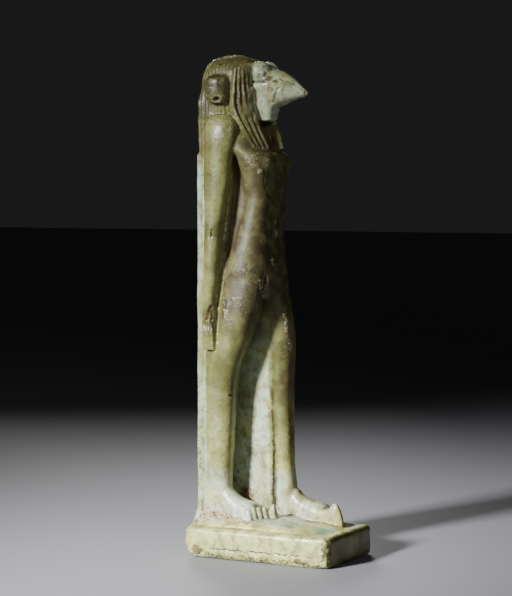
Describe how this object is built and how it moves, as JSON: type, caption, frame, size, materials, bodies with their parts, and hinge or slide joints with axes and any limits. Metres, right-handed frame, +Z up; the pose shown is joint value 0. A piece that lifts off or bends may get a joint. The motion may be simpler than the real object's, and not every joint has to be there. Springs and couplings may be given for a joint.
{
  "type": "faience amulet figure",
  "caption": "Moulded faience amulet of a striding ibis-headed figure in a long striped wig, with a back pillar, a low plinth and side lugs pierced for hanging.",
  "frame": {"origin": "middle of the plinth's underside", "axes": "+Z up along the figure, the figure looks along -Y, its left side is +X"},
  "size_m": [0.025, 0.0386, 0.12],
  "materials": {
    "faience_glaze": "worn pale green glaze, part glossy and part matt"
  },
  "bodies": {
    "root": {"faience_amulet": "faience_glaze"}
  },
  "joints": []
}
